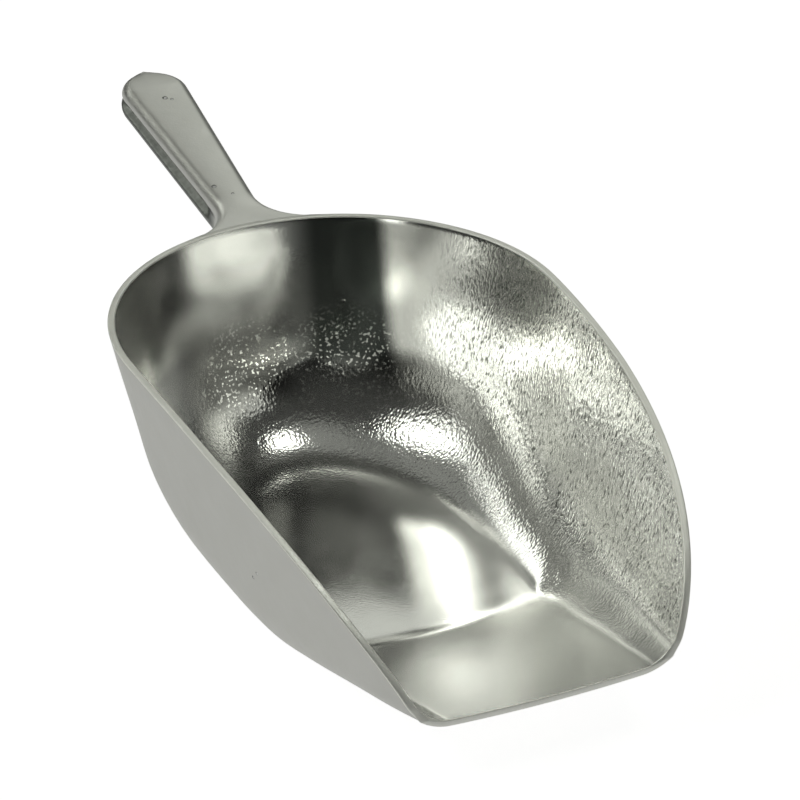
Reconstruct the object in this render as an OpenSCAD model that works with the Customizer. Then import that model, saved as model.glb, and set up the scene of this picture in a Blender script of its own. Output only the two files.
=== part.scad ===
// Flat-bottomed cast ice scoop: a drafted, open-fronted bowl with a grip at its back.
// Frame: +Y runs from the lip to the grip, +Z is up, X is the mirror direction.
// The origin is the middle of the flat underside. All sizes are in millimetres.

/* [Bowl floor line] */
// Half width of the floor line at the lip
floor_half_lip = 45.5; // [42:0.5:49]
// Half width of the floor line where it is widest
floor_half_mid = 64; // [60:1:68]
// Distance from the lip to the widest point of the floor line
floor_mid_at = 151; // [140:1:160]
// Distance from the lip to the back of the floor line
floor_back_at = 234; // [226:1:238]
// Squareness of the back of the floor line, 2 is an ellipse
floor_square = 2.3; // [2.1:0.1:2.6]
// How late the floor line widens, 1 is a straight taper
floor_flare = 1.5; // [1.3:0.1:1.8]

/* [Bowl top line] */
// Height at which the top line is drawn, above the highest rim
top_level = 120; // [112:1:130]
// Half width of the top line at the lip
top_half_lip = 83.5; // [79:0.5:87]
// Half width of the top line where it is widest
top_half_mid = 90.5; // [88:0.5:94]
// Distance from the lip to the widest point of the top line
top_mid_at = 170; // [160:1:176]
// Distance from the lip to the back of the top line
top_back_at = 250; // [246:1:256]
// Squareness of the back of the top line, 2 is an ellipse
top_square = 2; // [2:0.05:2.4]
// How late the top line widens, 1 is a straight taper
top_flare = 1.2; // [1.2:0.1:1.6]

/* [Floor patch and corner radius] */
// Half width of the flat floor patch at the lip
patch_half_lip = 36; // [32:1:38]
// Half width of the flat floor patch where it is widest
patch_half_mid = 42.5; // [39:0.5:46]
// Distance from the lip to the widest point of the patch
patch_mid_at = 119; // [110:1:130]
// Distance from the lip to the back of the patch
patch_back_at = 204; // [194:1:210]
// Squareness of the back of the patch
patch_square = 2.1; // [2:0.1:2.5]
// How late the patch widens
patch_flare = 1.4; // [1.2:0.1:1.8]

/* [Ramp] */
// Distance from the lip to the crease where the ramp meets the floor
crease_at = 82; // [74:1:86]
// How far the crease bows forward in the middle, per millimetre squared
crease_bow = 0.003; // [0:0.001:0.005]
// Slope of the ramp, degrees
ramp_angle = 15; // [11:0.5:15.5]
// Half height of the soft blend at the crease
crease_soft = 1; // [0.5:0.1:1.5]

/* [Rim] */
// Wall thickness
wall = 2.6; // [2.2:0.1:3.2]
// Height of the rim at the lip corners, above the inside floor
rim_low = 25.5; // [25:0.5:29]
// Height of the rim at the back, above the inside floor
rim_high = 87.5; // [82:0.5:94]
// Length over which the rim rises
rim_run = 240; // [230:1:250]
// How early the rim levels out
rim_level_power = 3.5; // [2.8:0.1:3.8]
// How steeply the rim leaves the lip corners
rim_start_power = 1.7; // [1.5:0.1:2]

/* [Grip] */
// Length of the grip from the back of the rim
grip_len = 115; // [100:1:130]
// Upward pitch of the grip, degrees
grip_pitch = 10; // [5:0.5:16]
// Half width of the grip at its neck
neck_half = 7.8; // [7.5:0.1:11]
// Half width of the grip at its end
end_half = 14.3; // [12:0.1:18]
// Depth of the grip at its neck
neck_depth = 16.5; // [13:0.5:18]
// Depth of the grip at its end
end_depth = 14.5; // [12:0.5:16]
// Length over which the grip end rounds off
end_round = 15; // [14:1:24]
// Squareness of the rounded end
end_square = 2; // [1.8:0.1:3]
// Radius of the grip's long edges
edge_r = 4; // [1.5:0.1:4]
// Depth of the finger groove along each side
groove_depth = 3; // [1.5:0.1:3.5]
// Radius of the flare that joins the grip to the rim
flare_r = 20; // [14:1:24]
// Depth that the flare adds under the grip
flare_drop = 12; // [6:1:16]

/* [Output] */
// Which piece to draw

/* [Hidden] */

// Distance from the lip to the origin, the middle of the flat underside
origin_at = 143;
// Metal taken off the underside so that the scoop stands flat
skim = 0.4;
// A length longer than the whole scoop
far = 400;
// Nudge used when a direction is measured on a curve
nudge = 0.002;
// Crowding of the stations towards the lip, where the rim turns fastest
crowd = 2;
// Wall travel for one unit of the section parameter, beyond the corner arc
wall_unit = 40;
// Largest section parameter, well above the rim
reach = 4;

// Stations along each half of the bowl, steps round the corner arc, and steps up the wall
half_n = 48;
arc_n = 7;
wall_n = 4;
// Strips across half of the floor
strip_n = 4;
// Rings in the flared root, along the shank, and in the rounded end
flare_n = 8;
shank_n = 16;
nose_n = 8;
// Angle at which the rounded end stops, leaving a narrow flat
nose_stop = 82;
// Points across a finger groove
groove_n = 7;
// Rise of the grip's top and bottom faces towards their middle, and where it starts
crown = 0.3;
crown_at = 0.55;
// Angle between points on the grip's rounded edges, and the largest radius there as a share
// of the half width and of the depth
edge_step = 30;
edge_share = 0.6;
edge_room = 0.32;
// How far the top and bottom round in at the grip's end, and how late they do it
tuck_max = 2;
tuck_power = 1.6;
// Groove: where it starts in flare radii, the gap left at the end, its fades, its share of a narrow ring
groove_from = 0.95;
groove_end = 4;
groove_fade_in = 8;
groove_fade_out = 14;
groove_share = 0.5;
// How low the groove sits, 1 is halfway down
groove_low = 1.5;

// Halvings used to find the rim and the back wall, the back wall's share of a half turn,
// and the widest place at which the grip follows the back wall
rim_halvings = 24;
wall_halvings = 14;
back_from = 0.6;
hug_half = 45;

col_n = arc_n + wall_n;
turn_n = 2 * half_n;
across_n = 2 * strip_n;
grid_count = (turn_n + 1) * (col_n + 1);
row_inner_n = across_n - 1;

floor_line = [floor_half_lip, floor_half_mid, floor_mid_at, floor_back_at, floor_square, floor_flare];
top_line = [top_half_lip, top_half_mid, top_mid_at, top_back_at, top_square, top_flare];
patch_line = [patch_half_lip, patch_half_mid, patch_mid_at, patch_back_at, patch_square, patch_flare];

function mix(a, b, k) = a + (b - a) * k;
function ease(x) = let (k = min(max(x, 0), 1)) k * k * (3 - 2 * k);
function unit(v) = v / norm(v);

// A plan line runs from the lip (0) round the back (1) to the other lip corner (2).
function side_pt(k, c) =
    let (s = 1 - pow(k, crowd))
    [c[1] - (c[1] - c[0]) * pow(s, c[5]), c[2] * (1 - s)];

function back_pt(a, c) =
    let (r = pow(pow(abs(cos(a)) / c[1], c[4]) + pow(sin(a) / (c[3] - c[2]), c[4]), -1 / c[4]))
    [r * cos(a), c[2] + r * sin(a)];

function half_pt(t, c) = t < 0.5 ? side_pt(2 * t, c) : back_pt(180 * (t - 0.5), c);

function plan_pt(t, c) =
    t > 1
    ? let (p = half_pt(2 - t, c)) [-p[0], p[1]]
    : half_pt(t, c);

// Sideways step of size d out of the plan line; at the lip it stays in the lip's own plane.
function step_out(t, c, d) =
    let (
        a = plan_pt(max(t - nudge, 0), c),
        b = plan_pt(min(t + nudge, 2), c),
        n = unit([b[1] - a[1], a[0] - b[0]])
    )
    (t <= 0 || t >= 2) ? [d / n[0], 0] : n * d;

// Height of the inside floor: flat at the back, a ramp in front of the crease.
function floor_z(p) =
    let (u = (crease_at + crease_bow * p[0] * p[0] - p[1]) * tan(ramp_angle))
    u >= crease_soft ? u : u <= -crease_soft ? 0 : pow(u + crease_soft, 2) / (4 * crease_soft);

function rim_z(y) =
    let (s = min(max(y / rim_run, 0), 1))
    rim_low + (rim_high - rim_low) * pow(1 - pow(1 - s, rim_level_power), 1 / rim_start_power);

// One upright section, with its wall moved out by d and its floor moved down by drop:
// patch edge, knee, arc end, arc weight, wall direction.
function section(t, d, drop) =
    let (
        f2 = plan_pt(t, patch_line),
        k2 = plan_pt(t, floor_line),
        u2 = plan_pt(t, top_line),
        lean = atan(norm(u2 - k2) / top_level),
        k3 = k2 + step_out(t, floor_line, (d - drop * sin(lean)) / cos(lean)),
        u3 = u2 + step_out(t, top_line, d / cos(lean)),
        f = [f2[0], f2[1], floor_z(f2) - drop],
        k = [k3[0], k3[1], floor_z(k3) - drop],
        u = [u3[0], u3[1], top_level],
        w = unit(u - k),
        r = norm(f - k),
        bend = acos((f - k) * w / r)
    )
    [f, k, k + w * r, sin(bend / 2), w];

function section_pt(g, v) =
    let (
        a = min(v, 1),
        b = 2 * a * (1 - a) * g[3],
        q = (g[0] * (1 - a) * (1 - a) + g[1] * b + g[2] * a * a) / ((1 - a) * (1 - a) + b + a * a)
    )
    q + g[4] * max(v - 1, 0) * wall_unit;

// Section parameter at which the section crosses the rim, by repeated halving.
function rim_at(g, lo, hi, n) =
    let (m = (lo + hi) / 2, q = section_pt(g, m))
    n == 0 ? m : q[2] > rim_z(q[1]) ? rim_at(g, lo, m, n - 1) : rim_at(g, m, hi, n - 1);

function section_row(t, d, drop) =
    let (
        g = section(t, d, drop),
        v = rim_at(g, 0, reach, rim_halvings),
        a = min(1, v * arc_n / col_n)
    )
    [for (k = [0:col_n])
        section_pt(g, k <= arc_n ? a * k / arc_n : a + (v - a) * (k - arc_n) / wall_n)];

function shell_rows(d, drop) = [for (i = [0:turn_n]) section_row(i / half_n, d, drop)];

function flat_list(rows) = [for (r = rows) for (p = r) p];

// Floor points between the two ends of one strip row.
function floor_row(edge, drop) =
    [for (c = [1:across_n - 1])
        let (p = [edge[0] * (c / strip_n - 1), edge[1]])
        [p[0], p[1], floor_z(p) - drop]];

// Point numbers in the bowl's list: side 0 is the inside, side 1 the outside.
function wall_id(i, j, side) = side * grid_count + i * (col_n + 1) + j;
function floor_id(i, c, side) =
    i == half_n || c == across_n
    ? wall_id(i, 0, side)
    : c == 0
    ? wall_id(turn_n - i, 0, side)
    : 2 * grid_count + (side * half_n + i) * row_inner_n + c - 1;

function tri(a, b, c) = a == b || b == c || a == c ? [] : [[a, b, c]];
function quad(a, b, c, d) = concat(tri(a, b, c), tri(a, c, d));
function flip_all(faces) = [for (f = faces) [f[2], f[1], f[0]]];

function wall_faces(side) =
    [for (i = [0:turn_n - 1]) for (j = [0:col_n - 1])
        for (f = quad(wall_id(i, j, side), wall_id(i + 1, j, side),
                      wall_id(i + 1, j + 1, side), wall_id(i, j + 1, side))) f];

function floor_faces(side) =
    [for (i = [0:half_n - 1]) for (c = [0:across_n - 1])
        for (f = quad(floor_id(i, c, side), floor_id(i + 1, c, side),
                      floor_id(i + 1, c + 1, side), floor_id(i, c + 1, side))) f];

function land_faces() =
    [for (i = [0:turn_n - 1])
        for (f = quad(wall_id(i, col_n, 0), wall_id(i + 1, col_n, 0),
                      wall_id(i + 1, col_n, 1), wall_id(i, col_n, 1))) f];

function end_faces(i) =
    [for (j = [0:col_n - 1])
        for (f = quad(wall_id(i, j, 0), wall_id(i, j + 1, 0),
                      wall_id(i, j + 1, 1), wall_id(i, j, 1))) f];

function lip_faces() =
    [for (c = [0:across_n - 1])
        for (f = quad(floor_id(0, c, 0), floor_id(0, c + 1, 0),
                      floor_id(0, c + 1, 1), floor_id(0, c, 1))) f];

module bowl_shell() {
    inside = shell_rows(0, 0);
    outside = shell_rows(wall, wall + skim);
    points = concat(
        flat_list(inside),
        flat_list(outside),
        flat_list([for (i = [0:half_n - 1]) floor_row(inside[i][0], 0)]),
        flat_list([for (i = [0:half_n - 1]) floor_row(outside[i][0], wall + skim)])
    );
    faces = concat(
        wall_faces(0),
        flip_all(wall_faces(1)),
        floor_faces(0),
        flip_all(floor_faces(1)),
        land_faces(),
        end_faces(0),
        flip_all(end_faces(turn_n)),
        lip_faces()
    );
    polyhedron(points = points, faces = faces);
}

// The shell is drawn from the lip and the inside floor, so it is moved to the origin here.
module bowl() {
    color("silver")
    difference() {
        translate([0, -origin_at, wall]) bowl_shell();
        translate([-far / 2, -far, -far / 2]) cube([far, 2 * far, far / 2]);
    }
}

// Outer wall at the back: the point of the wall with the given X, at height z.
function wall_pt(t, z) =
    let (g = section(t, wall, wall + skim), k = g[2], w = g[4])
    k + w * (z - k[2]) / w[2];

function wall_t(x, z, lo, hi, n) =
    let (m = (lo + hi) / 2)
    n == 0 ? m : wall_pt(m, z)[0] > x ? wall_t(x, z, m, hi, n - 1) : wall_t(x, z, lo, m, n - 1);

function wall_y(x, z) = wall_pt(wall_t(abs(x), z, back_from, 1, wall_halvings), z)[1];

// Rings of the grip are placed by their distance from the root.
back_y = wall_y(0, rim_high);
root_sink = 0.3;
blend_len = 1.6 * flare_r;
ring_count = flare_n + shank_n + nose_n;
shank_len = grip_len - flare_r - end_round;

function ring_at(i) =
    i < flare_n
    ? flare_r * (1 - cos(90 * i / flare_n))
    : i < flare_n + shank_n
    ? flare_r + shank_len * (i - flare_n) / shank_n
    : grip_len - end_round + end_round * sin(nose_stop * (i - flare_n - shank_n) / nose_n);

function nose_k(s) = max(0, s - grip_len + end_round) / end_round;
function flare_k(s) = s < flare_r ? 1 - sqrt(1 - pow(1 - s / flare_r, 2)) : 0;
function groove_k(s) =
    ease((s - groove_from * flare_r) / groove_fade_in)
    * ease((grip_len - groove_end - s) / groove_fade_out);

// Half outline of a ring, from the middle of the top to the middle of the bottom.
function half_ring(s) =
    let (
        nose = pow(max(0, 1 - pow(nose_k(s), end_square)), 1 / end_square),
        half = (mix(neck_half, end_half, s / grip_len)) * nose + flare_r * flare_k(s),
        deep = mix(neck_depth, end_depth, s / grip_len) + flare_drop * flare_k(s),
        r = min(edge_r, half * edge_share),
        tuck = tuck_max * pow(nose_k(s), tuck_power),
        hi = -tuck - crown,
        lo = -deep + tuck + crown,
        drop_r = min(edge_r, edge_room * (hi - lo)),
        gap = hi - lo - 2 * drop_r,
        cut = min(groove_depth, half * groove_share) * groove_k(s)
    )
    concat(
        [[0, -tuck], [(half - r) * crown_at, hi + crown * crown_at]],
        [for (a = [0:edge_step:90]) [half - r + r * sin(a), hi - drop_r * (1 - cos(a))]],
        [for (k = [1:groove_n])
            [half - cut * pow(sin(180 * pow(k / (groove_n + 1), groove_low)), 2),
             hi - drop_r - gap * k / (groove_n + 1)]],
        [for (a = [90:-edge_step:0]) [half - r + r * sin(a), lo + drop_r * (1 - cos(a))]],
        [[(half - r) * crown_at, lo - crown * crown_at], [0, -deep + tuck]]
    );

// Two points on the top and bottom faces, four on each rounded edge, and the groove between them.
half_ring_n = 2 * (2 + 90 / edge_step + 1) + groove_n;
ring_n = 2 * half_ring_n - 2;

function full_ring(s) =
    let (h = half_ring(s))
    concat(h, [for (k = [half_ring_n - 2:-1:1]) [-h[k][0], h[k][1]]]);

// A ring near the root is bent back onto the curved outer wall; further out it is straight.
function place(p, s) =
    let (
        fade = pow(max(0, 1 - s / blend_len), 2),
        y = s * cos(grip_pitch) - p[1] * sin(grip_pitch),
        z = rim_high + s * sin(grip_pitch) + p[1] * cos(grip_pitch),
        hug = wall_y(min(abs(p[0]), hug_half), min(z, rim_high)) - back_y - root_sink
    )
    [p[0], back_y + mix(y, s + hug, fade), z];

function ring_id(i, k) = i * ring_n + (k + ring_n) % ring_n;

module grip_body() {
    rings = [for (i = [0:ring_count]) let (s = ring_at(i)) [for (p = full_ring(s)) place(p, s)]];
    sides = [for (i = [0:ring_count - 1]) for (k = [0:ring_n - 1])
        for (f = quad(ring_id(i, k), ring_id(i + 1, k), ring_id(i + 1, k + 1), ring_id(i, k + 1))) f];
    caps = concat(
        [for (k = [0:half_ring_n - 2])
            for (f = quad(ring_id(0, k), ring_id(0, k + 1), ring_id(0, -k - 1), ring_id(0, -k))) f],
        [for (k = [0:half_ring_n - 2])
            for (f = quad(ring_id(ring_count, -k), ring_id(ring_count, -k - 1),
                          ring_id(ring_count, k + 1), ring_id(ring_count, k))) f]
    );
    polyhedron(points = flat_list(rings), faces = concat(sides, caps));
}

// Solid that fills the bowl behind the outer face of the back wall, for trimming the grip's root.
trim_n = 24;
trim_from = 0.75;
trim_to = 1.25;
trim_low = 30;
trim_high = 110;

function trim_row(z) = [for (i = [0:trim_n]) wall_pt(mix(trim_from, trim_to, i / trim_n), z)];

module wall_trim() {
    n = trim_n + 1;
    points = concat(trim_row(trim_low), trim_row(trim_high));
    sides = [for (i = [0:trim_n - 1]) for (f = quad(i, i + n, i + n + 1, i + 1)) f];
    lids = concat(
        [for (i = [1:trim_n - 1]) [0, i, i + 1]],
        [for (i = [1:trim_n - 1]) [n, n + i + 1, n + i]],
        [[0, trim_n, n + trim_n], [0, n + trim_n, n]]
    );
    polyhedron(points = points, faces = concat(sides, lids));
}

module handle() {
    color("gainsboro")
    translate([0, -origin_at, wall])
    difference() {
        grip_body();
        wall_trim();
    }
}

bowl();
handle();
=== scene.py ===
"""Looks for a one-piece cast aluminium ice scoop: polished bowl, satin outside, grooved grip."""
import math

import bpy
import numpy as np
from mathutils import Matrix, Vector


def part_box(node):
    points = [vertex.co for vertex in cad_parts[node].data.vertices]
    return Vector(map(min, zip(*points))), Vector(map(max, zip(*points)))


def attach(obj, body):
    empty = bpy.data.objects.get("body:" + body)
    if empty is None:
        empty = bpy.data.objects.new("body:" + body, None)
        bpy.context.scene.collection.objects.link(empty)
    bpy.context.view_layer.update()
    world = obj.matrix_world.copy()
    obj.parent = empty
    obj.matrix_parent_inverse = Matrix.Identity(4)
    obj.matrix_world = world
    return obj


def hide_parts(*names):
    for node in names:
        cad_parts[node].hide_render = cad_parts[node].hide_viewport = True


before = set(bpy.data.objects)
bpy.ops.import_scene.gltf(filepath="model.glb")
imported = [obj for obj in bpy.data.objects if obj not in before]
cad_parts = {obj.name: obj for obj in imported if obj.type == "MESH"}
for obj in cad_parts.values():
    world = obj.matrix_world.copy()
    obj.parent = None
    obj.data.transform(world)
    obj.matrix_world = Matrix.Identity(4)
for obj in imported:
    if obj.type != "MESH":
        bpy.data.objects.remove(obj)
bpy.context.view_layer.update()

MM = 0.001

# ---------------------------------------------------------------- bowl, in millimetres
# Plan lines: half width at the lip, widest half width, its distance from the lip,
# distance from the lip to the back, squareness of the back, lateness of the widening.
FLOOR_LINE = (45.5, 64.0, 151.0, 234.0, 2.3, 1.5)
TOP_LINE = (83.5, 90.5, 170.0, 250.0, 2.0, 1.2)
PATCH_LINE = (36.0, 42.5, 119.0, 204.0, 2.1, 1.4)
# Height at which the top line lies, and how far the joins in a line are eased
TOP_LEVEL = 120.0
LINE_SOFT = 5.0

# The floor's crease, its bow, the slope in front of it and how far it is rounded
CREASE_AT = 82.0
CREASE_BOW = 0.003
RAMP = math.tan(math.radians(15.0))
CREASE_SOFT = 1.0

# Wall thickness, and the rim: its height at the lip, where it gets level, and its bend
WALL = 2.6
RIM_LOW = 25.5
RIM_RUN = 240.0
RIM_LEVEL_POWER = 3.5
RIM_START_POWER = 1.7
EDGE_R = 0.55

# Over this distance from the lip the wall's offset turns level, and its longest level step
LIP_REACH = 6.0
LEAST_TURN = 0.3

# Half width of the grip's root on the rim, where the outer edge stays sharp, and its fade
ROOT_HALF = 22.0
ROOT_HALF_FADE = 6.0

# Waviness: seed, width and height, and the band under the rim in which the inner one fades
WAVE_IN = (3, 46.0, 0.16)
WAVE_OUT = (5, 40.0, 0.10)
WAVE_FADE = 20.0
WAVES = 9
WAVE_SPREAD = (0.7, 1.5)

# ---------------------------------------------------------------- grip, in millimetres
GRIP_LEN = 115.0
GRIP_PITCH = math.radians(10.0)
NECK_HALF = 7.8
END_HALF = 14.3
NECK_DEPTH = 16.5
END_DEPTH = 14.5
END_ROUND = 15.0
END_SQUARE = 2.0
# Rounded edges: radius, and the largest share of the half width and of the depth
GRIP_EDGE_R = 4.0
GRIP_EDGE_SHARE = 0.6
GRIP_EDGE_ROOM = 0.32
# How far top and bottom round in at the end, and how late
TUCK = 2.0
TUCK_POWER = 1.6
# Height of the crown, and the distance over which it builds up
CROWN = 0.3
CROWN_RUN = 14.0
# Groove: depth, how low it sits, roundness, largest share of the half width, and its fades,
# the first measured from the root and the second from the end
GROOVE_DEPTH = 3.0
GROOVE_LOW = 1.5
GROOVE_ROUND = 1.6
GROOVE_SHARE = 0.5
GROOVE_START = (19.0, 28.0)
GROOVE_END = (3.0, 18.0)
# Root: radius and drop of the flare, its reach along the grip in radii, the widest place at
# which it follows the wall, how deep it sinks into the wall, and how far it lies under the rim
FLARE_R = 20.0
FLARE_DROP = 12.0
FLARE_REACH = 1.6
HUG_HALF = 45.0
ROOT_SINK = 0.3
ROOT_DROP = 0.03

BOWL_LO, BOWL_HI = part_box("bowl")
LIP_Y = BOWL_LO.y / MM
RIM_HIGH = BOWL_HI.z / MM - WALL

# ---------------------------------------------------------------- mesh resolution
# Bowl: steps along a side and half the back, up the corner and the wall, across the floor
# and round each half of an edge
SIDE_N = 84
BACK_N = 56
SIDE_FRONT = 0.25
SIDE_POWER = 1.8
ARC_N = 18
UP_N = 20
STRIP_N = 14
ROUND_N = 4
# Steps next to a border in which the waviness fades: at the lip, the corner and the rim
FADE_LIP, FADE_CORNER, FADE_RIM = 14.0, 8.0, 5.0
# Grip: steps across half a flat, down the groove, round an edge, along flare, shank and nose,
# and the last angle of the nose
FLAT_N = 6
GROOVE_N = 20
CORNER_N = 6
FLARE_N = 20
SHANK_N = 43
NOSE_N = 23
NOSE_LAST = 86
# Plan lines: steps along one, reach of its easing, and the step that its direction is taken over
LINE_STEPS = 4000
LINE_PAD = 4
TAU_STEP = 0.004
# Wall: millimetres for one unit of v above the corner, the largest v, halvings that find the
# rim and the back wall, and where along the back the search starts
V_UNIT = 40.0
V_MAX = 4.0
RIM_HALVINGS = 30
WALL_HALVINGS = 24
BACK_FROM = 1.2
RIM_TABLE_RUN = 300.0
RIM_TABLE_N = 6000


def to_world(p):
    """Points measured from the lip and the inside floor, in mm, to metres in the row frame."""
    q = np.array(p, float)
    q[..., 1] += LIP_Y
    q[..., 2] += WALL
    return q * MM


def unit(v):
    """The same directions with length 1."""
    n = np.linalg.norm(v, axis=-1, keepdims=True)
    return v / np.maximum(n, 1e-9)


# ---------------------------------------------------------------- bowl shape
def raw_line(tau, line):
    """Plan line at tau: 0 lip, 1 widest point, 2 back, 3 widest point, 4 lip on the other side."""
    half_lip, half_mid, mid_at, back_at, square, flare = line
    fold = np.where(tau > 2, 4 - tau, tau)
    y_side = EDGE_R + (mid_at - EDGE_R) * np.clip(fold, 0, 1)
    s = 1 - y_side / mid_at
    x_side = half_mid - (half_mid - half_lip) * s ** flare
    a = np.clip(fold - 1, 0, 1) * math.pi / 2
    c, n = np.abs(np.cos(a)), np.sin(a)
    r = ((c / half_mid) ** square + (n / (back_at - mid_at)) ** square) ** (-1 / square)
    x = np.where(fold < 1, x_side, r * c)
    y = np.where(fold < 1, y_side, mid_at + r * n)
    return np.stack([np.where(tau > 2, -x, x), y], -1)


def soft_line(line):
    """The plan line with its joins eased over a few millimetres, as a function of tau."""
    tau = np.linspace(0, 4, LINE_STEPS + 1)
    p = raw_line(tau, line)
    run = np.concatenate([[0], np.cumsum(np.linalg.norm(np.diff(p, axis=0), axis=1))])
    step = run[-1] / LINE_STEPS
    even = np.linspace(0, run[-1], LINE_STEPS + 1)
    q = np.stack([np.interp(even, run, p[:, k]) for k in (0, 1)], -1)
    pad = int(LINE_PAD * LINE_SOFT / step)
    q = np.concatenate([2 * q[0] - q[pad:0:-1], q, 2 * q[-1] - q[-2:-pad - 2:-1]])
    w = np.exp(-0.5 * (np.arange(-pad, pad + 1) * step / LINE_SOFT) ** 2)
    w /= w.sum()
    q = np.stack([np.convolve(q[:, k], w, "valid") for k in (0, 1)], -1)

    def at(t):
        s = np.interp(t, tau, run)
        return np.stack([np.interp(s, even, q[:, k]) for k in (0, 1)], -1)

    return at


LINES = {name: soft_line(line) for name, line in
         (("floor", FLOOR_LINE), ("top", TOP_LINE), ("patch", PATCH_LINE))}


def step_out(tau, name, d):
    """Sideways step of size d out of a plan line; at the lip it stays in the lip's plane."""
    line = LINES[name]
    t = unit(line(np.minimum(tau + TAU_STEP, 4)) - line(np.maximum(tau - TAU_STEP, 0)))
    n = np.stack([t[:, 1], -t[:, 0]], -1)
    way = np.sign(2 - tau)
    level = np.stack([way / np.maximum(way * n[:, 0], LEAST_TURN), np.zeros_like(tau)], -1)
    from_lip = np.maximum(line(tau)[:, 1] - EDGE_R, 0)
    k = (np.exp(-from_lip / LIP_REACH) * ((tau < 1) | (tau > 3)))[:, None]
    return (n * (1 - k) + level * k) * np.reshape(d, (-1, 1))


def floor_z(x, y):
    """Height of the floor inside: level, then a ramp in front of the crease."""
    u = (CREASE_AT + CREASE_BOW * x * x - y) * RAMP
    e = CREASE_SOFT
    return np.where(u >= e, u, np.where(u <= -e, 0.0, (u + e) ** 2 / (4 * e)))


def rim_z(y):
    """Height of the rim line at a distance from the lip."""
    s = np.clip(y / RIM_RUN, 0, 1)
    return RIM_LOW + (RIM_HIGH - RIM_LOW) * (1 - (1 - s) ** RIM_LEVEL_POWER) ** (1 / RIM_START_POWER)


def rim_table():
    """Rim line pulled back by the edge radius, with the direction that leads out to the rim."""
    y = RIM_TABLE_RUN * np.linspace(0, 1, RIM_TABLE_N + 1) ** 3
    z = rim_z(y)
    t = unit(np.stack([np.gradient(y), np.gradient(z)], -1))
    t[0] = (0, 1)
    return y + EDGE_R * t[:, 1], z - EDGE_R * t[:, 0], -t[:, 1], t[:, 0]


RIM_TABLE = rim_table()


def section(tau, d):
    """Upright sections, offset outward by d: patch edge, knee, arc end, arc weight, wall direction."""
    f2, k2, u2 = (LINES[n](tau) for n in ("patch", "floor", "top"))
    lean = np.arctan(np.linalg.norm(u2 - k2, axis=1) / TOP_LEVEL)
    if d:
        k2 = k2 + step_out(tau, "floor", d * (1 - np.sin(lean)) / np.cos(lean))
        u2 = u2 + step_out(tau, "top", d / np.cos(lean))
    f = np.column_stack([f2, floor_z(f2[:, 0], f2[:, 1]) - d])
    k = np.column_stack([k2, floor_z(k2[:, 0], k2[:, 1]) - d])
    u = np.column_stack([u2, np.full(len(tau), TOP_LEVEL)])
    w = unit(u - k)
    r = np.linalg.norm(f - k, axis=1, keepdims=True)
    bend = np.arccos(np.clip(((f - k) * w).sum(1, keepdims=True) / r, -1, 1))
    return f, k, k + w * r, np.sin(bend / 2), w


def section_pt(g, v):
    """Points of sections g: v from 0 to 1 goes round the corner, above 1 up the straight wall."""
    f, k, e, weight, w = g
    v = np.reshape(v, (-1, 1))
    a = np.minimum(v, 1)
    b = 2 * a * (1 - a) * weight
    q = (f * (1 - a) ** 2 + k * b + e * a * a) / ((1 - a) ** 2 + b + a * a)
    return q + w * np.maximum(v - 1, 0) * V_UNIT


def wall_grid(tau, d):
    """Grid of wall points from the patch edge up to just under the rim: stations x columns."""
    g = section(tau, d)
    lo, hi = np.zeros(len(tau)), np.full(len(tau), V_MAX)
    for _ in range(RIM_HALVINGS):
        m = (lo + hi) / 2
        q = section_pt(g, m)
        above = q[:, 2] > np.interp(q[:, 1], RIM_TABLE[0], RIM_TABLE[1])
        hi = np.where(above, m, hi)
        lo = np.where(above, lo, m)
    a = np.minimum(1, lo * ARC_N / (ARC_N + UP_N))
    cols = [section_pt(g, a * k / ARC_N) for k in range(ARC_N + 1)]
    cols += [section_pt(g, a + (lo - a) * k / UP_N) for k in range(1, UP_N + 1)]
    return np.stack(cols, 1)


def stations():
    """Values of tau all round the plan lines, closer together at the lip."""
    k = np.linspace(0, 1, SIDE_N + 1)[:-1]
    side = SIDE_FRONT * k + (1 - SIDE_FRONT) * k ** SIDE_POWER
    back = 1 + np.linspace(0, 1, BACK_N + 1)
    half = np.concatenate([side, back])
    return np.concatenate([half, 4 - half[-2::-1]])


def grid_normals(grid):
    """Normals of a grid of points."""
    n = np.cross(np.gradient(grid, axis=0), np.gradient(grid, axis=1))
    return unit(n)


def waver(p, seed, size, height):
    """Slow, even waviness of a hand-finished casting, as a scalar per point."""
    rng = np.random.default_rng(seed)
    out = np.zeros(p.shape[:-1])
    for _ in range(WAVES):
        k = rng.normal(size=3)
        k = k / np.linalg.norm(k) * 2 * math.pi / (size * rng.uniform(*WAVE_SPREAD))
        out += np.sin(p @ k + rng.uniform(0, 2 * math.pi))
    return out * height / math.sqrt(WAVES)


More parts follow.
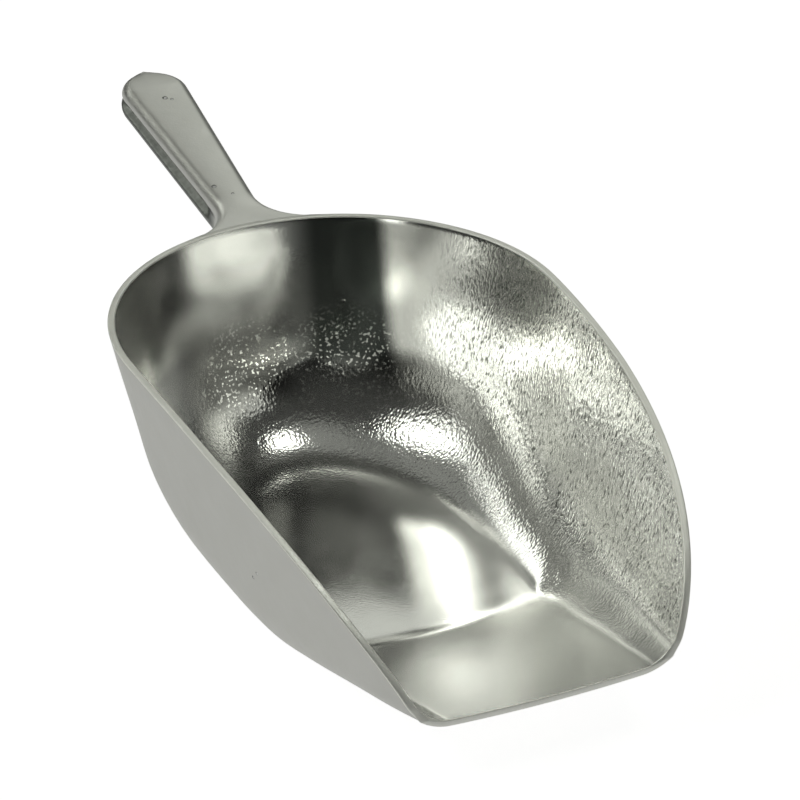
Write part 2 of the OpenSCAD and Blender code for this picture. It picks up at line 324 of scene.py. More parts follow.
class Shell:
    """Collects points and faces of one mesh, with a material number per face."""

    def __init__(self):
        self.points, self.faces, self.mats = [], [], []
        self.count = 0

    def add(self, rows):
        """Adds a block of points and returns their numbers in the same layout."""
        rows = np.asarray(rows, float)
        flat = rows.reshape(-1, 3)
        ids = np.arange(self.count, self.count + len(flat)).reshape(rows.shape[:-1])
        self.points.append(flat)
        self.count += len(flat)
        return ids

    def skin(self, ids, mat, flip=False):
        """Quads between neighbouring rows of point numbers."""
        a, b, c, d = ids[:-1, :-1], ids[1:, :-1], ids[1:, 1:], ids[:-1, 1:]
        quads = np.stack([a, b, c, d], -1).reshape(-1, 4)
        if flip:
            quads = quads[:, ::-1]
        for q in quads:
            keep = [int(v) for i, v in enumerate(q) if v != q[i - 1]]
            if len(keep) > 2:
                self.faces.append(keep)
                self.mats.append(mat)

    def build(self, name, materials):
        """Makes the mesh object, smooth-shaded, and links it."""
        mesh = bpy.data.meshes.new(name)
        points = to_world(np.concatenate(self.points))
        mesh.from_pydata([tuple(p) for p in points], [], self.faces)
        for m in materials:
            mesh.materials.append(m)
        mesh.polygons.foreach_set("material_index", self.mats)
        mesh.polygons.foreach_set("use_smooth", [True] * len(self.faces))
        mesh.update()
        obj = bpy.data.objects.new(name, mesh)
        bpy.context.scene.collection.objects.link(obj)
        return obj


def floor_block(edge, d):
    """Floor points across each station row, between the two patch edges."""
    half = len(edge) // 2
    k = np.linspace(-1, 1, 2 * STRIP_N + 1)[1:-1]
    x = edge[:half, 0:1] * k
    y = np.repeat(edge[:half, 1:2], len(k), 1)
    return np.stack([x, y, floor_z(x, y) - d], -1)


def edge_out(grid, at_lip):
    """Steps in the surface that lead from the border points out to the lip's or the rim's edge."""
    normals = grid_normals(grid)
    if at_lip:
        n = normals[0]
        o = np.tile([0.0, -1.0, 0.0], (len(n), 1))
    else:
        n = normals[:, -1]
        y = grid[:, -1, 1]
        o = np.stack([np.zeros_like(y), np.interp(y, RIM_TABLE[0], RIM_TABLE[2]),
                      np.interp(y, RIM_TABLE[0], RIM_TABLE[3])], -1)
    o = o - (o * n).sum(1, keepdims=True) * n
    return o / (-o[:, 1:2] if at_lip else np.linalg.norm(o[:, 1:], axis=1, keepdims=True))


def border(grid):
    """The border of a wall grid that the edge runs along: up the lip, round the rim, down the lip."""
    return np.concatenate([grid[0, :-1], grid[:, -1], grid[-1, -2::-1]])


def border_steps(grid):
    """The outward step at every point of the border."""
    first, last = edge_out(grid, True), edge_out(grid[::-1], True)
    return np.concatenate([first[:-1], edge_out(grid, False), last[-2::-1]])


def rounded_edge(inner, outer, out_in, out_out, square_outer):
    """Rows of points that carry the inside surface round the edge to the outside one."""
    d = unit(outer - inner)
    rows = []
    for k in range(ROUND_N + 1):
        a = math.pi / 2 * k / ROUND_N
        rows.append(inner + out_in * EDGE_R * math.sin(a) + d * EDGE_R * (1 - math.cos(a)))
    g = square_outer[:, None]
    for k in range(ROUND_N, -1, -1):
        a = math.pi / 2 * k / ROUND_N
        lift = EDGE_R * (math.sin(a) * (1 - g) + g * k / ROUND_N)
        rows.append(outer + out_out * lift - d * EDGE_R * (1 - math.cos(a)) * (1 - g))
    return np.stack(rows, 1)


def wall_edge(inside, outside):
    """The rounded edge of lip sides and rim, with a sharp outer side where the grip's root meets it."""
    at = border(inside)
    by_root = np.clip(1 - (np.abs(at[:, 0]) - ROOT_HALF) / ROOT_HALF_FADE, 0, 1) * (at[:, 1] > TOP_LINE[2])
    return rounded_edge(at, border(outside), border_steps(inside), border_steps(outside), by_root)


def lip_edge(floor_in, floor_out):
    """The rounded edge of the lip across the floor."""
    step = np.tile([0.0, -1.0, RAMP], (floor_in.shape[1], 1))
    return rounded_edge(floor_in[0], floor_out[0], step, step, np.zeros(len(step)))


def wavy(grid, wave, share):
    """The grid moved along its normals by a waviness that fades out at its borders."""
    return grid + grid_normals(grid) * (waver(grid, *wave) * share)[..., None] * border_fade(grid)


def floor_ids(wall, floor):
    """Rows of point numbers across the floor, with the wall's first points at both ends."""
    half = len(wall) // 2
    rows = [np.concatenate([[wall[-1 - i, 0]], floor[i], [wall[i, 0]]]) for i in range(half)]
    rows.append(np.full(len(rows[0]), wall[half, 0]))
    return np.stack(rows)


def build_bowl(materials):
    """The bowl: inside with the first material, outside with the second, edges with the third."""
    inside_mat, outside_mat, edge_mat = range(3)
    tau = stations()
    inside, outside = wall_grid(tau, 0.0), wall_grid(tau, WALL)
    floor_in, floor_out = floor_block(inside[:, 0], 0.0), floor_block(outside[:, 0], WALL)
    edge, lip = wall_edge(inside, outside), lip_edge(floor_in, floor_out)
    share = np.clip((RIM_HIGH + WAVE_FADE / 2 - inside[..., 2]) / WAVE_FADE, 0, 1)
    inside, outside = wavy(inside, WAVE_IN, share), wavy(outside, WAVE_OUT, 1.0)

    shell = Shell()
    w_in, w_out = shell.add(inside), shell.add(outside)
    f_in, f_out = shell.add(floor_in), shell.add(floor_out)
    edge_ids, lip_ids = shell.add(edge[:, 1:-1]), shell.add(lip[:, 1:-1])
    for wall, floor, mat, flip in ((w_in, f_in, inside_mat, True), (w_out, f_out, outside_mat, False)):
        shell.skin(wall, mat, flip)
        shell.skin(floor_ids(wall, floor), mat, flip)
    ring = np.column_stack([border(w_in), edge_ids, border(w_out)])
    lip_ring = np.column_stack([f_in[0], lip_ids, f_out[0]])
    shell.skin(ring, edge_mat, True)
    shell.skin(np.concatenate([ring[-1:], lip_ring, ring[:1]]), edge_mat, True)
    return shell.build("scoop_bowl", materials)


def border_fade(grid):
    """Keeps the edges of a wall grid where they are, so that the joins stay closed."""
    n, m = grid.shape[:2]
    i = np.minimum(np.arange(n), np.arange(n)[::-1]) / FADE_LIP
    j = np.minimum(np.arange(m) / FADE_CORNER, np.arange(m)[::-1] / FADE_RIM)
    k = np.minimum(np.clip(i, 0, 1)[:, None], np.clip(j, 0, 1)[None, :])
    return (k * k * (3 - 2 * k))[..., None]


# ---------------------------------------------------------------- grip shape
def outer_wall_y(x, z):
    """How far back the outside of the back wall is, at a sideways place and a height."""
    x, z = np.abs(np.ravel(x)), np.ravel(z)
    lo, hi = np.full(len(x), BACK_FROM), np.full(len(x), 2.0)
    for _ in range(WALL_HALVINGS):
        m = (lo + hi) / 2
        _, _, end, _, up = section(m, WALL)
        q = end + up * ((z - end[:, 2]) / up[:, 2])[:, None]
        wide = q[:, 0] > x
        lo = np.where(wide, m, lo)
        hi = np.where(wide, hi, m)
    return q[:, 1]


def smoothstep(a, b, x):
    """Eased step from 0 at a to 1 at b."""
    k = np.clip((x - a) / (b - a), 0, 1)
    return k * k * (3 - 2 * k)


def grip_ring(s):
    """Half outline of the grip's section at distance s: top middle round to bottom middle."""
    q = max(0.0, s - GRIP_LEN + END_ROUND) / END_ROUND
    nose = max(0.0, 1 - q ** END_SQUARE) ** (1 / END_SQUARE)
    flare = 1 - math.sqrt(1 - (1 - s / FLARE_R) ** 2) if s < FLARE_R else 0.0
    k = s / GRIP_LEN
    half = (NECK_HALF + (END_HALF - NECK_HALF) * k) * nose + FLARE_R * flare
    deep = NECK_DEPTH + (END_DEPTH - NECK_DEPTH) * k + FLARE_DROP * flare
    tuck = TUCK * q ** TUCK_POWER
    crown = CROWN * float(smoothstep(0, CROWN_RUN, s))
    hi, lo = -tuck - crown, -deep + tuck + crown
    edge_r = min(GRIP_EDGE_R, half * GRIP_EDGE_SHARE)
    drop_r = min(GRIP_EDGE_R, GRIP_EDGE_ROOM * (hi - lo))
    inner = half - edge_r
    cut = min(GROOVE_DEPTH, half * GROOVE_SHARE)
    cut *= float(smoothstep(*GROOVE_START, s) * smoothstep(*GROOVE_END, GRIP_LEN - s))
    gap = hi - lo - 2 * drop_r

    flat = [inner * u for u in np.linspace(0, 1, FLAT_N + 1)[:-1]]
    swell = [crown * (1 - (x / max(inner, 1e-6)) ** 2) for x in flat]
    turn = np.linspace(0, math.pi / 2, CORNER_N + 1)
    out = [(x, hi + up) for x, up in zip(flat, swell)]
    out += [(inner + edge_r * math.sin(a), hi - drop_r * (1 - math.cos(a))) for a in turn]
    for u in np.arange(1, GROOVE_N) / GROOVE_N:
        bay = math.sin(math.pi * u ** GROOVE_LOW) ** GROOVE_ROUND
        out.append((half - cut * bay, hi - drop_r - gap * u))
    out += [(inner + edge_r * math.sin(a), lo + drop_r * (1 - math.cos(a))) for a in turn[::-1]]
    out += [(x, lo - up) for x, up in zip(flat[::-1], swell[::-1])]
    return np.array(out)


def grip_runs():
    """Distances along the grip at which it has a section: flare, shank and rounded end."""
    flare = FLARE_R * (1 - np.cos(np.linspace(0, math.pi / 2, FLARE_N + 1)[:-1]))
    shank = np.linspace(FLARE_R, GRIP_LEN - END_ROUND, SHANK_N + 1)[:-1]
    nose = GRIP_LEN - END_ROUND + END_ROUND * np.sin(np.radians(np.linspace(0, NOSE_LAST, NOSE_N + 1)))
    return np.concatenate([flare, shank, nose])


def hug_wall(x, z, back):
    """Distance from the wall's middle to its outside at a sideways place, sunk a little."""
    return outer_wall_y(np.minimum(np.abs(x), HUG_HALF), np.minimum(z, RIM_HIGH)) - back - ROOT_SINK


GRIP_AT = float(outer_wall_y([0.0], [RIM_HIGH])[0]) + LIP_Y


def grip_section(s, back):
    """All points of the grip's section at distance s, eased on to the back wall at the root."""
    h = grip_ring(s)
    p = np.concatenate([h, h[-2:0:-1] * (-1, 1)])
    y = s * math.cos(GRIP_PITCH) - p[:, 1] * math.sin(GRIP_PITCH)
    z = RIM_HIGH - ROOT_DROP + s * math.sin(GRIP_PITCH) + p[:, 1] * math.cos(GRIP_PITCH)
    fade = max(0.0, 1 - s / (FLARE_REACH * FLARE_R)) ** 2
    hug = hug_wall(p[:, 0], z, back)
    return np.column_stack([p[:, 0], back + y * (1 - fade) + (s + hug) * fade, z])


def close_root(shell, ring, ids, back):
    """The root's cap: it runs between the flats' own points, and its inner rows lie on the wall."""
    n = len(ids) // 2
    mirror = (-np.arange(n + 1)) % (2 * n)
    side = np.arange(FLAT_N + 1, n - FLAT_N)
    x = ring[side, :1] * np.linspace(1, -1, 2 * FLAT_N + 1)[1:-1]
    z = np.broadcast_to(ring[side, 2:], x.shape)
    y = back + hug_wall(x.ravel(), z.ravel(), back).reshape(x.shape)
    inner = shell.add(np.stack([x, y, z], -1))
    top = [*range(FLAT_N, 0, -1), 0, *mirror[1:FLAT_N + 1]]
    bottom = [*range(n - FLAT_N, n + 1), *mirror[n - 1:n - FLAT_N - 1:-1]]
    rows = np.column_stack([ids[side], inner, ids[mirror[side]]])
    shell.skin(np.vstack([ids[top], rows, ids[bottom]]), 0, True)


def close_end(shell, ids):
    """The small flat face that closes the grip's rounded end."""
    n = len(ids) // 2
    mirror = (-np.arange(n + 1)) % (2 * n)
    shell.skin(np.stack([ids[:n + 1], ids[mirror]]), 0, True)


def build_grip(materials):
    """The grip, from its root on the back wall to its rounded end."""
    back = GRIP_AT - LIP_Y
    rings = np.stack([grip_section(s, back) for s in grip_runs()])
    shell = Shell()
    ids = shell.add(rings)
    shell.skin(np.concatenate([ids, ids[:, :1]], 1), 0, True)
    close_end(shell, ids[-1])
    close_root(shell, rings[0], ids[0], back)
    return shell.build("scoop_handle", materials)


# ---------------------------------------------------------------- shader helpers
class Graph:
    """Wires shader nodes; every method returns an output socket."""

    def __init__(self, tree):
        self.tree = tree

    def node(self, kind, **props):
        """A new node with these properties."""
        n = self.tree.nodes.new(kind)
        for key, value in props.items():
            setattr(n, key, value)
        return n

    def put(self, value, socket):
        """Links a socket to an input, or sets the input to a plain value."""
        if isinstance(value, bpy.types.NodeSocket):
            self.tree.links.new(value, socket)
        else:
            socket.default_value = value

    def math(self, op, a, b=0.0):
        """Number that a maths node makes of a and b."""
        n = self.node("ShaderNodeMath", operation=op)
        self.put(a, n.inputs[0])
        self.put(b, n.inputs[1])
        return n.outputs[0]

    def times(self, first, *others):
        """Product of any number of values."""
        for other in others:
            first = self.math("MULTIPLY", first, other)
        return first

    def vector(self, op, a, b=(0, 0, 0)):
        """Vector, or number, that a vector maths node makes of a and b."""
        n = self.node("ShaderNodeVectorMath", operation=op)
        self.put(a, n.inputs[0])
        self.put(b, n.inputs[1])
        return n.outputs["Value" if op in ("DOT_PRODUCT", "DISTANCE") else "Vector"]

    def ease(self, x, lo, hi, out_lo=0.0, out_hi=1.0):
        """Smooth step from out_lo at lo to out_hi at hi."""
        if lo > hi:
            lo, hi, out_lo, out_hi = hi, lo, out_hi, out_lo
        n = self.node("ShaderNodeMapRange", interpolation_type="SMOOTHSTEP")
        for value, socket in zip((x, lo, hi, out_lo, out_hi), n.inputs):
            self.put(value, socket)
        return n.outputs[0]

    def mix(self, k, a, b):
        """Number a where k is 0, b where it is 1."""
        n = self.node("ShaderNodeMix", data_type="FLOAT")
        for value, socket in zip((k, a, b), (n.inputs[0], n.inputs[2], n.inputs[3])):
            self.put(value, socket)
        return n.outputs[0]

    def tint(self, k, a, b):
        """Colour a where k is 0, b where it is 1."""
        n = self.node("ShaderNodeMix", data_type="RGBA")
        for value, socket in zip((k, a, b), (n.inputs[0], n.inputs[6], n.inputs[7])):
            self.put(value, socket)
        return n.outputs[2]

    def noise(self, where, size, detail=2.0, rough=0.5):
        """Noise with features about `size` metres wide."""
        n = self.node("ShaderNodeTexNoise", normalize=True)
        self.put(where, n.inputs["Vector"])
        n.inputs["Scale"].default_value = 1.0 / size
        n.inputs["Detail"].default_value = detail
        n.inputs["Roughness"].default_value = rough
        return n.outputs[0]

    def bump(self, height, depth, normal=None):
        """Bump whose height runs 0..1 over `depth` metres."""
        n = self.node("ShaderNodeBump")
        n.inputs["Distance"].default_value = depth
        self.put(height, n.inputs["Height"])
        if normal is not None:
            self.put(normal, n.inputs["Normal"])
        return n.outputs[0]


def split(g, vector):
    """The x, y and z of a vector."""
    n = g.node("ShaderNodeSeparateXYZ")
    g.put(vector, n.inputs[0])
    return n.outputs


# ---------------------------------------------------------------- materials
METALNESS = 0.95
WHITE = (1.0, 1.0, 1.0, 1)
# Kinds of noise: detail and roughness
SMOOTH, PLAIN, GRAINY, CLOUDY = (1.0, 0.4), (2.0, 0.5), (3.0, 0.6), (4.0, 0.6)

# Parts of the bowl's inside, by the normal or by the place in metres. Each pair, here and below,
# runs from where a part starts to where it is full.
SIDE_NX = (0.72, 0.93)
FLAT_NZ = (0.8, 0.97)
RAMP_Y = (-0.055, -0.075)
BACK_Y = (0.03, 0.06)

# Bare metal inside: size and span of the wear, roughness with it and on the ramp, and tones; the side
# walls' lighter tone is painted sheen that brightens what they mirror
WEAR_SIZE = 0.018
WEAR = (0.3, 0.75)
DULL, DULL_RAMP = (0.11, 0.18), 0.19
BARE_DIM, BARE_LIT = (0.66, 0.66, 0.635, 1), (0.74, 0.74, 0.72, 1)
SIDE_SHEEN = (0.99, 0.99, 0.97, 1)
BARE_RAMP = (0.44, 0.44, 0.425, 1)

# Orange peel: stretch along z, feature sizes and depths in metres, shares of the two grains,
# and its strength in the corner, from front to back of the floor, on the ramp and at least
GRAIN_STRETCH = (1.0, 1.0, 0.38)
GRAIN_SIZE, COARSE_SIZE, FINE_SIZE, SLOW_SIZE = 0.00095, 0.0022, 0.0007, 0.02
PEEL_DEPTH, FINE_DEPTH, SLOW_DEPTH = 0.00022, 0.00001, 0.0004
GRAIN_SHARE, COARSE_SHARE = 0.8, 0.35
PEEL_CORNER, PEEL_CORNER_Z = 0.9, (0.045, 0.012)
PEEL_FLOOR, PEEL_FLOOR_Y = (0.08, 0.5), (-0.02, 0.06)
PEEL_RAMP, PEEL_LEAST = 0.05, 0.07
SLOW_OFF_SIDE = 0.1

# Painted dark reflections on the inside, in metres: the one seen in the floor, under the rim at the back,
# the band down the back, the left corner with its deep part, and the upper right
RISING = (-0.05, -0.25)
BEHIND_Z = (0.014, 0.026)
IN_FLOOR_X, IN_FLOOR_TONE = (0.048, 0.034), (0.25, 0.25, 0.24, 1)
UNDER_X, UNDER_Z, UNDER_TONE = (0.022, 0.004), (0.088, 0.044), (0.10, 0.10, 0.095, 1)
BAND_X, BAND_END_X, BAND_Z = (0.002, 0.024), (0.050, 0.044), (0.016, 0.036)
BAND_TONE = (0.045, 0.05, 0.046, 1)
CORNER_X, CORNER_Y, CORNER_TONE = (-0.022, -0.040), (-0.01, 0.02), (0.25, 0.25, 0.24, 1)
DEEP_Z, DEEP_TONE = (0.062, 0.044), (0.02, 0.02, 0.02, 1)
UPPER_Y, UPPER_Z, UPPER_TONE = (0.0, 0.03), (0.055, 0.072), (0.34, 0.34, 0.325, 1)

# Painted specks of the inside: painted dark specks at this height of the grain, and painted bright glints
# in patches at the back
PAINTED_SPECK, PAINTED_SPECK_TONE = (0.58, 0.68), (0.24, 0.25, 0.23, 1)
GLINT_SIZE, GLINT, GLINT_TONE = 0.0012, (0.58, 0.66), (0.85, 0.85, 0.82, 1)
GLINT_PATCH_SIZE, GLINT_PATCH = 0.012, (0.3, 0.55)
GLINT_X, GLINT_Y, GLINT_Z = (-0.034, -0.006), (0.02, 0.06), (0.058, 0.022)

# Satin outside: roughness and brightness of the cast skin and of the ground rim and lip; sizes
# and depths of grain and waves; size and span of the clouds; how they change the roughness
SATIN_SKIN, GROUND_LAND = (0.42, 0.8), (0.50, 1.25)
SATIN_GRAIN, SATIN_GRAIN_DEPTH = 0.0011, 0.00007
SATIN_WAVE, SATIN_WAVE_DEPTH = 0.014, 0.0004
CLOUD_SIZE, CLOUD = 0.009, (0.25, 0.75)
SMOOTHER, ROUGHER = 0.05, 0.07
SATIN_DIM, SATIN_LIT, SATIN_BLUE = 0.66, 0.76, 0.95

# Grip: painted light on its top, a painted dark line along the top's rounded edge, and painted shade low
# on its
# sides: how far below the top it begins, its ragged edge, its mottle and its painted shadow line along its
# top edge
GRIP_START = (0.014, 0.022)
PAINTED_TOP_NZ, PAINTED_TOP_DIM, PAINTED_TOP_LIT = (0.4, 0.85), (0.71, 0.71, 0.68, 1), (0.81, 0.81, 0.78, 1)
SHOULDER_SHADE_NZ, SHOULDER_SHADE_END_NZ, SHOULDER_SHADE_TONE = (0.995, 0.93), (0.45, 0.7), (0.42, 0.42, 0.40, 1)
SIDE_SHADE_NZ, SIDE_SHADE_DROP = (-0.6, -0.3), (0.0070, 0.0080)
RAGGED_SIZE, RAGGED = 0.0035, 0.0014
MOTTLE_SIZE, SHADE_MOTTLE_DIM, SHADE_MOTTLE_LIT = 0.0022, (0.09, 0.095, 0.09, 1), (0.30, 0.31, 0.295, 1)
SHADOW_LINE_DROP, SHADOW_LINE_EDGE, SHADOW_LINE_TONE = 0.0074, (0.0010, 0.0004), (0.015, 0.018, 0.015, 1)

# Casting pits: x, y, z and radius in mm; then, in radii, their depth (which is also the width of
# their bottom), the edges of their painted shade and painted highlight, and how low the painted highlight
# sits
INSIDE_PITS = ((-60, 73, 72, 0.9), (32, 91, 56, 1.0), (11, 96, 49, 0.7), (-17, 93, 32, 0.7))
OUTSIDE_PITS = ((-70, -57, 40, 0.9), (-70, -61, 44, 0.8), (0, 195, 106, 1.3), (2.4, 193.5, 105.7, 0.8),
                (-5, 132, 94.7, 1.2), (0, 125, 93.6, 0.7), (-11, 203, 99, 0.9))
PIT_DEPTH = 0.3
PIT_SHADE_EDGES = (1.0, 0.7)
PIT_HIGHLIGHT_EDGES = (0.65, 0.4)
PIT_HIGHLIGHT_OFF = 0.3
PIT_SHADE_TONE = (0.12, 0.12, 0.115, 1)


def metal(name):
    """A new metal with its graph, its shader, the place in the object and the plain normal."""
    m = bpy.data.materials.new(name)
    m.use_nodes = True
    g = Graph(m.node_tree)
    g.shader = m.node_tree.nodes["Principled BSDF"]
    g.shader.inputs["Metallic"].default_value = METALNESS
    g.where = g.node("ShaderNodeTexCoord").outputs["Object"]
    g.normal = g.node("ShaderNodeNewGeometry").outputs["Normal"]
    return m, g


def pits(g, spots, n, tone):
    """Small round casting pits, bumped in, with painted shade over the pit and a painted highlight low in
    its bottom.
    """
    for x, y, z, size in spots:
        r = size * MM
        away = g.vector("DISTANCE", g.where, (x * MM, y * MM, z * MM))
        lower = g.vector("DISTANCE", g.where, (x * MM, y * MM - PIT_HIGHLIGHT_OFF * r, z * MM))
        n = g.bump(g.ease(away, PIT_DEPTH * r, r), PIT_DEPTH * r, n)
        # Painted shade over the pit, then a painted highlight set low in its bottom
        tone = g.tint(g.ease(away, *(k * r for k in PIT_SHADE_EDGES)), tone, PIT_SHADE_TONE)
        tone = g.tint(g.ease(lower, *(k * r for k in PIT_HIGHLIGHT_EDGES)), tone, WHITE)
    return n, tone


def orange_peel(g, grain, side, flat, ramp_flat):
    """Bumps of the inside: strong on the side walls and in the corner, faint on floor and ramp."""
    _, y, z = split(g, g.where)
    low = g.times(g.ease(z, *PEEL_CORNER_Z), PEEL_CORNER)
    peel = g.math("MAXIMUM", side, low)
    peel = g.mix(flat, peel, g.ease(y, *PEEL_FLOOR_Y, *PEEL_FLOOR))
    peel = g.math("MAXIMUM", g.mix(ramp_flat, peel, PEEL_RAMP), PEEL_LEAST)
    coarse = g.noise(g.vector("MULTIPLY", g.where, GRAIN_STRETCH), COARSE_SIZE, 1.0)
    height = g.math("ADD", g.times(grain, GRAIN_SHARE), g.times(coarse, COARSE_SHARE))
    n = g.bump(g.times(height, peel), PEEL_DEPTH)
    n = g.bump(g.noise(g.where, FINE_SIZE, *PLAIN), FINE_DEPTH, n)
    slow = g.times(g.noise(g.where, SLOW_SIZE, 1.0), g.ease(side, 0.0, 1.0, SLOW_OFF_SIDE, 1.0))
    return g.bump(slow, SLOW_DEPTH, n)


def painted_dark_reflections(g, tone, side, seen):
    """Darker zones that stand in for dark surroundings mirrored in the bowl.

    None of them shows where one wall mirrors another, so the walls stay light. Those with `seen`
    show to the camera only, those with `below` also in reflections that rise from the floor, and
    the first one in such reflections only.
    """
    x, y, z = split(g, g.where)
    incoming = g.node("ShaderNodeNewGeometry").outputs["Incoming"]
    rising = g.ease(split(g, incoming)[2], *RISING)
    below = g.math("MAXIMUM", seen, rising)
    back = g.ease(y, *BACK_Y)
    behind = g.times(back, g.ease(z, *BEHIND_Z))

    tone = g.tint(g.times(behind, rising, g.ease(x, *IN_FLOOR_X)), tone, IN_FLOOR_TONE)
    under = g.times(behind, below, g.ease(x, *UNDER_X), g.ease(z, *UNDER_Z))
    tone = g.tint(under, tone, UNDER_TONE)
    band = g.times(back, seen, g.ease(x, *BAND_X), g.ease(x, *BAND_END_X), g.ease(z, *BAND_Z))
    tone = g.tint(band, tone, BAND_TONE)
    corner = g.times(g.ease(x, *CORNER_X), g.ease(y, *CORNER_Y), below)
    tone = g.tint(corner, tone, g.tint(g.ease(z, *DEEP_Z), CORNER_TONE, DEEP_TONE))
    upper = g.times(g.ease(y, *UPPER_Y), g.ease(z, *UPPER_Z), side, seen)
    return g.tint(upper, tone, UPPER_TONE)


def painted_specks_and_glints(g, tone, grain, side, seen):
    """Painted dark specks in the side walls' grain, and painted bright glints low on the back wall."""
    x, y, z = split(g, g.where)
    tone = g.tint(g.times(g.ease(grain, *PAINTED_SPECK), side, seen), tone, PAINTED_SPECK_TONE)
    spots = g.ease(g.noise(g.where, GLINT_SIZE, *SMOOTH), *GLINT)
    patches = g.ease(g.noise(g.where, GLINT_PATCH_SIZE, 1.0), *GLINT_PATCH)
    low_back = g.times(g.ease(z, *GLINT_Z), g.ease(y, *GLINT_Y), g.ease(x, *GLINT_X))
    return g.tint(g.times(spots, patches, low_back, seen), tone, GLINT_TONE)


def polished_inside():
    """Hand-polished casting: mirror-like, with a fine orange peel that is strong on the side walls."""
    m, g = metal("polished_cast")
    nx, _, nz = split(g, g.normal)
    side = g.ease(g.math("ABSOLUTE", nx), *SIDE_NX)
    flat = g.ease(nz, *FLAT_NZ)
    ramp = g.ease(split(g, g.where)[1], *RAMP_Y)
    ramp_flat = g.times(ramp, flat)
    grain = g.noise(g.vector("MULTIPLY", g.where, GRAIN_STRETCH), GRAIN_SIZE, *SMOOTH)
    wear = g.noise(g.where, WEAR_SIZE, *CLOUDY)
    seen = g.node("ShaderNodeLightPath").outputs["Is Camera Ray"]

    n = orange_peel(g, grain, side, flat, ramp_flat)
    tone = g.tint(wear, BARE_DIM, BARE_LIT)
    # Painted sheen: a lighter tone on the side walls brightens their reflections
    tone = g.tint(side, tone, SIDE_SHEEN)
    tone = g.tint(ramp_flat, tone, BARE_RAMP)
    tone = painted_dark_reflections(g, tone, side, seen)
    tone = painted_specks_and_glints(g, tone, grain, side, seen)
    n, tone = pits(g, INSIDE_PITS, n, tone)
    g.put(g.mix(ramp, g.ease(wear, *WEAR, *DULL), DULL_RAMP), g.shader.inputs["Roughness"])
    g.put(n, g.shader.inputs["Normal"])
    g.put(tone, g.shader.inputs["Base Color"])
    return m


def satin_grey(level):
    """A grey of the metal, a little short of blue."""
    return level, level, level * SATIN_BLUE, 1


def satin_outside(name, rough, level, groove=False):
    """Fettled outside: even satin with a soft cast grain; with `groove`, painted light on the grip's top
    and painted shade on its sides.
    """
    m, g = metal(name)
    n = g.bump(g.noise(g.where, SATIN_GRAIN, *GRAINY), SATIN_GRAIN_DEPTH)
    n = g.bump(g.noise(g.where, SATIN_WAVE, *PLAIN), SATIN_WAVE_DEPTH, n)
    cloud = g.noise(g.where, CLOUD_SIZE, *CLOUDY)
    g.put(g.ease(cloud, *CLOUD, rough - SMOOTHER, rough + ROUGHER), g.shader.inputs["Roughness"])
    tone = g.tint(cloud, satin_grey(SATIN_DIM * level), satin_grey(SATIN_LIT * level))
    if groove:
        # Painted light: a lighter tone where the grip's surface faces up
        lit_top = g.ease(split(g, g.normal)[2], *PAINTED_TOP_NZ)
        tone = g.tint(lit_top, tone, g.tint(cloud, PAINTED_TOP_DIM, PAINTED_TOP_LIT))
        tone = painted_groove_shade(g, tone)
    n, tone = pits(g, OUTSIDE_PITS, n, tone)
    g.put(n, g.shader.inputs["Normal"])
    g.put(tone, g.shader.inputs["Base Color"])
    return m


def painted_groove_shade(g, tone):
    """Mottled painted shade low on the grip's sides with a painted shadow line along its top edge, and
    painted shade along the top's rounded edge.
    """
    _, y, z = split(g, g.where)
    nz = split(g, g.normal)[2]
    start = GRIP_AT * MM
    rise = g.times(g.math("SUBTRACT", y, start), math.tan(GRIP_PITCH))
    drop = g.math("SUBTRACT", g.math("ADD", rise, BOWL_HI.z), z)
    ragged = g.math("ADD", drop, g.times(g.noise(g.where, RAGGED_SIZE, *PLAIN), RAGGED))
    away = g.ease(y, *(start + k for k in GRIP_START))
    shaded_side = g.times(g.ease(nz, *SIDE_SHADE_NZ), away)

    # Painted shade along the top's rounded edge, where the surface turns down
    turn = g.times(g.ease(nz, *SHOULDER_SHADE_NZ), g.ease(nz, *SHOULDER_SHADE_END_NZ), away)
    tone = g.tint(turn, tone, SHOULDER_SHADE_TONE)
    mottle = g.tint(g.noise(g.where, MOTTLE_SIZE, *GRAINY), SHADE_MOTTLE_DIM, SHADE_MOTTLE_LIT)
    # Painted shade, mottled, low on the grip's sides
    tone = g.tint(g.times(g.ease(ragged, *SIDE_SHADE_DROP), shaded_side), tone, mottle)
    off = g.math("ABSOLUTE", g.math("SUBTRACT", ragged, SHADOW_LINE_DROP))
    return g.tint(g.times(g.ease(off, *SHADOW_LINE_EDGE), shaded_side), tone, SHADOW_LINE_TONE)


# ---------------------------------------------------------------- the two pieces
bowl = build_bowl([polished_inside(), satin_outside("satin_cast", *SATIN_SKIN),
                   satin_outside("ground_land", *GROUND_LAND)])
grip = build_grip([satin_outside("satin_grip", *SATIN_SKIN, groove=True)])
for piece, node in ((bowl, "bowl"), (grip, "handle")):
    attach(piece, "root")
    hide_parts(node)


# ---------------------------------------------------------------- stage
FLOOR_HALF = 3.0
FLOOR_DROP = 0.0002
FLOOR_MATT = (0.35, 0.35, 0.35, 1)
# The floor's glow: pale to the camera; the metal sees it dim in front of the lip and brighter
# under and behind the bowl
GLOW_SEEN = 0.89
GLOW_SPAN = (-0.32, -0.08)
GLOW_LEVEL = (0.03, 0.46)


